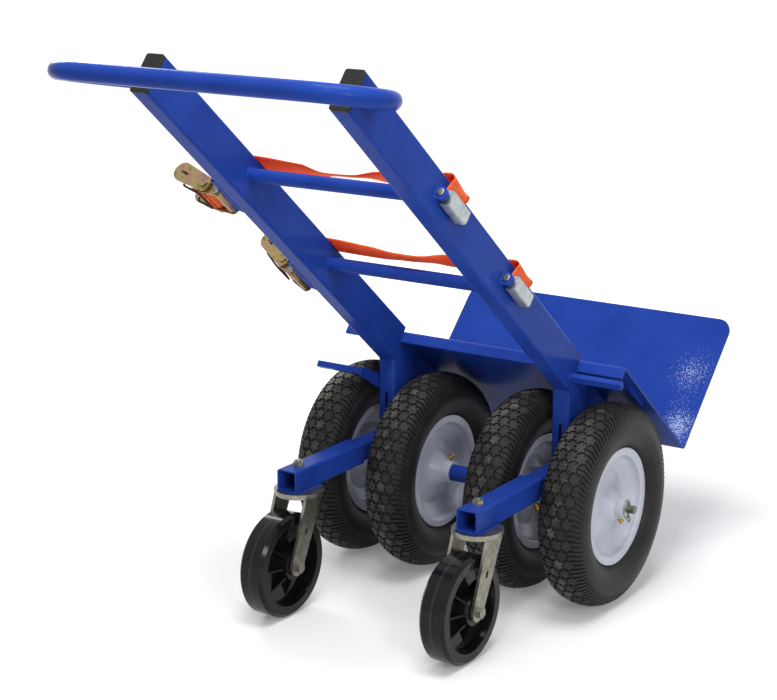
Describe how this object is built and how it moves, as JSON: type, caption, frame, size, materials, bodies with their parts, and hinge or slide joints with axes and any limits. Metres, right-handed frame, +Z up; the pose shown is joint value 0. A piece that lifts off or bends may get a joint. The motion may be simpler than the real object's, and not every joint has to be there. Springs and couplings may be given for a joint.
{
  "type": "off-road hand truck",
  "caption": "Leaning ladder-frame hand truck on pneumatic wheels with rear swivel casters, folded nose plate, loop handle, tyre brakes and ratchet straps.",
  "frame": {"origin": "on the floor, under the middle of the bounding box", "axes": "+X to the operator's right, +Y forwards to the load, +Z up"},
  "size_m": [0.6973, 1.4056, 1.1024],
  "materials": {
    "blue_powder_coat": "gloss powder coat",
    "black_cap_plastic": "moulded, matt",
    "zinc_steel": "zinc plated, satin",
    "bearing_steel": "ground, oiled",
    "yellow_zinc": "yellow chromate, satin",
    "tyre_rubber": "moulded, matt",
    "white_rim_paint": "satin paint",
    "valve_brass": "turned, dull",
    "black_phenolic": "moulded, gloss",
    "black_wire": "black oxide",
    "orange_webbing": "woven polyester"
  },
  "bodies": {
    "frame": {"left_rail": "blue_powder_coat", "right_rail": "blue_powder_coat", "rail_end_caps": "black_cap_plastic", "handle_bar": "blue_powder_coat", "crossbars": "blue_powder_coat", "nose_plate": "blue_powder_coat", "left_post": "blue_powder_coat", "right_post": "blue_powder_coat", "left_caster_arm": "blue_powder_coat", "right_caster_arm": "blue_powder_coat", "arm_stubs": "blue_powder_coat", "post_gussets": "blue_powder_coat", "axle": "zinc_steel", "axle_sleeve": "blue_powder_coat", "axle_spacers": "zinc_steel", "axle_washers": "zinc_steel", "cotter_pins": "zinc_steel", "strap_brackets": "blue_powder_coat", "strap_bolts": "zinc_steel", "anchor_clips": "zinc_steel", "upper_strap": "orange_webbing", "lower_strap": "orange_webbing", "caster_top_plates": "zinc_steel", "caster_kingbolts": "zinc_steel", "upper_ratchet_frame": "yellow_zinc", "lower_ratchet_frame": "yellow_zinc"},
    "left_outer_wheel": {"left_outer_tyre": "tyre_rubber", "left_outer_rim": "white_rim_paint", "left_outer_bearings": "bearing_steel", "left_outer_valve": "valve_brass"},
    "left_inner_wheel": {"left_inner_tyre": "tyre_rubber", "left_inner_rim": "white_rim_paint", "left_inner_bearings": "bearing_steel", "left_inner_valve": "valve_brass"},
    "right_inner_wheel": {"right_inner_tyre": "tyre_rubber", "right_inner_rim": "white_rim_paint", "right_inner_bearings": "bearing_steel", "right_inner_valve": "valve_brass"},
    "right_outer_wheel": {"right_outer_tyre": "tyre_rubber", "right_outer_rim": "white_rim_paint", "right_outer_bearings": "bearing_steel", "right_outer_valve": "valve_brass"},
    "left_caster": {"left_caster_fork": "zinc_steel", "left_caster_axle": "zinc_steel"},
    "left_caster_roller": {"left_caster_wheel": "black_phenolic", "left_caster_bearing": "bearing_steel"},
    "left_brake": {"left_brake_lever": "blue_powder_coat"},
    "right_caster": {"right_caster_fork": "zinc_steel", "right_caster_axle": "zinc_steel"},
    "right_caster_roller": {"right_caster_wheel": "black_phenolic", "right_caster_bearing": "bearing_steel"},
    "right_brake": {"right_brake_lever": "blue_powder_coat"},
    "upper_handle": {"upper_ratchet_handle": "yellow_zinc"},
    "upper_spool": {"upper_ratchet_spool": "yellow_zinc", "upper_webbing_roll": "orange_webbing"},
    "upper_pull": {"upper_release_pull": "black_wire"},
    "lower_handle": {"lower_ratchet_handle": "yellow_zinc"},
    "lower_spool": {"lower_ratchet_spool": "yellow_zinc", "lower_webbing_roll": "orange_webbing"},
    "lower_pull": {"lower_release_pull": "black_wire"}
  },
  "joints": [
    {"name": "left_outer_wheel_spin", "type": "hinge", "parent": "frame", "child": "left_outer_wheel", "pos_m": [-0.2793, 0.20647, 0.2], "axis": [1, 0, 0], "continuous": true},
    {"name": "left_inner_wheel_spin", "type": "hinge", "parent": "frame", "child": "left_inner_wheel", "pos_m": [-0.1127, 0.20647, 0.2], "axis": [1, 0, 0], "continuous": true},
    {"name": "right_inner_wheel_spin", "type": "hinge", "parent": "frame", "child": "right_inner_wheel", "pos_m": [0.1127, 0.20647, 0.2], "axis": [1, 0, 0], "continuous": true},
    {"name": "right_outer_wheel_spin", "type": "hinge", "parent": "frame", "child": "right_outer_wheel", "pos_m": [0.2793, 0.20647, 0.2], "axis": [1, 0, 0], "continuous": true},
    {"name": "left_caster_swivel", "type": "hinge", "parent": "frame", "child": "left_caster", "pos_m": [-0.201, -0.13353, 0.2376], "axis": [0, 0, 1], "continuous": true},
    {"name": "left_caster_spin", "type": "hinge", "parent": "left_caster", "child": "left_caster_roller", "pos_m": [-0.201, -0.19053, 0.1016], "axis": [1, 0, 0], "continuous": true},
    {"name": "left_brake_swing", "type": "hinge", "parent": "frame", "child": "left_brake", "pos_m": [-0.201, 0.20647, 0.357], "axis": [1, 0, 0], "range_deg": [-40.5, 14.5]},
    {"name": "right_caster_swivel", "type": "hinge", "parent": "frame", "child": "right_caster", "pos_m": [0.201, -0.13353, 0.2376], "axis": [0, 0, 1], "continuous": true},
    {"name": "right_caster_spin", "type": "hinge", "parent": "right_caster", "child": "right_caster_roller", "pos_m": [0.201, -0.19053, 0.1016], "axis": [1, 0, 0], "continuous": true},
    {"name": "right_brake_swing", "type": "hinge", "parent": "frame", "child": "right_brake", "pos_m": [0.201, 0.20647, 0.357], "axis": [1, 0, 0], "range_deg": [-2, 53]},
    {"name": "upper_handle_swing", "type": "hinge", "parent": "frame", "child": "upper_handle", "pos_m": [-0.27465, -0.27788, 0.82305], "axis": [0, -0.7638, 0.6455], "range_deg": [0, 105]},
    {"name": "upper_spool_turn", "type": "hinge", "parent": "frame", "child": "upper_spool", "pos_m": [-0.27465, -0.27788, 0.82305], "axis": [0, -0.7638, 0.6455], "continuous": true},
    {"name": "upper_pull_slide", "type": "slide", "parent": "upper_handle", "child": "upper_pull", "axis": [-0.9563, 0.1887, 0.2233], "range_m": [0, 0.007], "stiffness_N_per_m": 1500},
    {"name": "lower_handle_swing", "type": "hinge", "parent": "frame", "child": "lower_handle", "pos_m": [-0.2701, -0.05272, 0.64485], "axis": [0, -0.7638, 0.6455], "range_deg": [0, 105]},
    {"name": "lower_spool_turn", "type": "hinge", "parent": "frame", "child": "lower_spool", "pos_m": [-0.2701, -0.05272, 0.64485], "axis": [0, -0.7638, 0.6455], "continuous": true},
    {"name": "lower_pull_slide", "type": "slide", "parent": "lower_handle", "child": "lower_pull", "axis": [-0.8141, 0.3748, 0.4435], "range_m": [0, 0.007], "stiffness_N_per_m": 1500}
  ]
}
